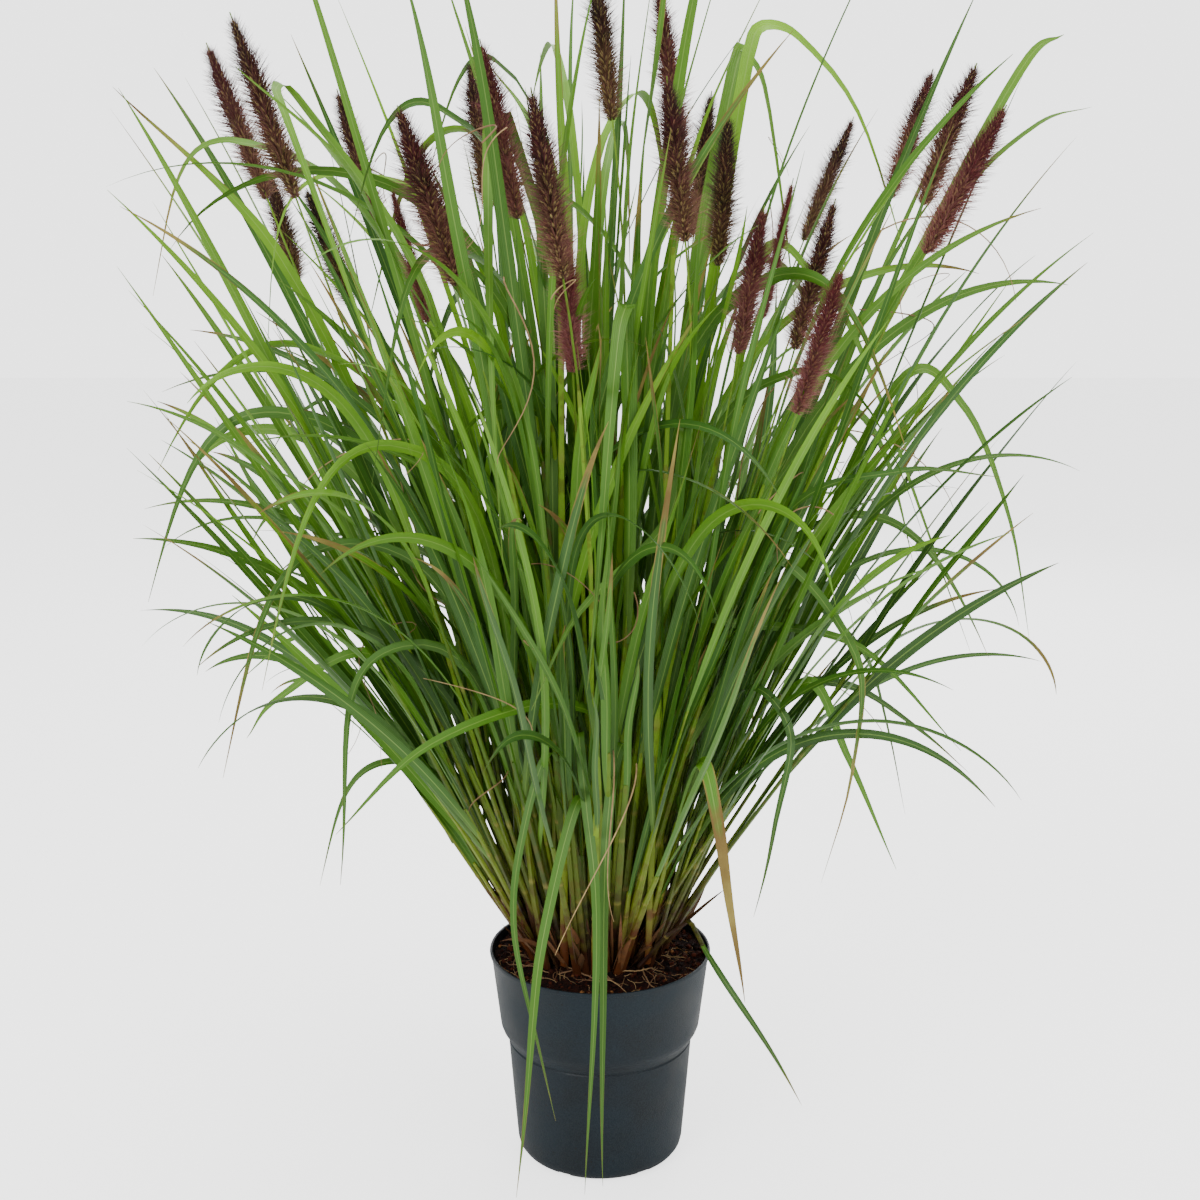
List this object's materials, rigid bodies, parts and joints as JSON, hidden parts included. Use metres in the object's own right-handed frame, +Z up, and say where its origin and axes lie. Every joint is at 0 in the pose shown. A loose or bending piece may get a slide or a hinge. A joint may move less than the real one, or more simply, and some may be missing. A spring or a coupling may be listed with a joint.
{
  "type": "potted fountain grass clump",
  "caption": "Fountain grass clump in a round nursery pot: arching narrow leaves in a vase shape, with dark bottle-brush flower spikes on thin stems above them.",
  "frame": {"origin": "centre of the pot's flat base, where it meets the ground", "axes": "+Z up along the pot's axis, -Y towards the front of the clump, +X to its right"},
  "size_m": [0.7671, 0.6702, 1.0501],
  "materials": {
    "pot_plastic": "matt dark slate grey, moulded, with specks of soil",
    "potting_soil": null,
    "rootstock": "dull brown woody crown with old sheath bases",
    "flower_stem": null,
    "flower_bristles": "dark purple-brown bristles with tan-green spikelets",
    "grass_leaf": null
  },
  "bodies": {
    "root": {"pot": "pot_plastic", "soil": "potting_soil", "crown": "rootstock", "flower_stem_01": "flower_stem", "flower_stem_02": "flower_stem", "flower_stem_03": "flower_stem", "flower_stem_04": "flower_stem", "flower_stem_05": "flower_stem", "flower_stem_06": "flower_stem", "flower_stem_07": "flower_stem", "flower_stem_08": "flower_stem", "flower_stem_09": "flower_stem", "flower_stem_10": "flower_stem", "flower_stem_11": "flower_stem", "flower_stem_12": "flower_stem", "flower_stem_13": "flower_stem", "flower_stem_14": "flower_stem", "flower_stem_15": "flower_stem", "flower_stem_16": "flower_stem", "flower_stem_17": "flower_stem", "flower_stem_18": "flower_stem", "flower_stem_19": "flower_stem", "flower_stem_20": "flower_stem", "flower_stem_21": "flower_stem", "flower_stem_22": "flower_stem", "flower_stem_23": "flower_stem", "flower_stem_24": "flower_stem", "flower_spike_01": "flower_bristles", "flower_spike_02": "flower_bristles", "flower_spike_03": "flower_bristles", "flower_spike_04": "flower_bristles", "flower_spike_05": "flower_bristles", "flower_spike_06": "flower_bristles", "flower_spike_07": "flower_bristles", "flower_spike_08": "flower_bristles", "flower_spike_09": "flower_bristles", "flower_spike_10": "flower_bristles", "flower_spike_11": "flower_bristles", "flower_spike_12": "flower_bristles", "flower_spike_13": "flower_bristles", "flower_spike_14": "flower_bristles", "flower_spike_15": "flower_bristles", "flower_spike_16": "flower_bristles", "flower_spike_17": "flower_bristles", "flower_spike_18": "flower_bristles", "flower_spike_19": "flower_bristles", "flower_spike_20": "flower_bristles", "flower_spike_21": "flower_bristles", "flower_spike_22": "flower_bristles", "flower_spike_23": "flower_bristles", "flower_spike_24": "flower_bristles", "leaf_tuft_01": "grass_leaf", "leaf_tuft_02": "grass_leaf", "leaf_tuft_03": "grass_leaf", "leaf_tuft_04": "grass_leaf", "leaf_tuft_05": "grass_leaf", "leaf_tuft_06": "grass_leaf", "leaf_tuft_07": "grass_leaf", "leaf_tuft_08": "grass_leaf", "leaf_tuft_09": "grass_leaf"}
  },
  "joints": []
}
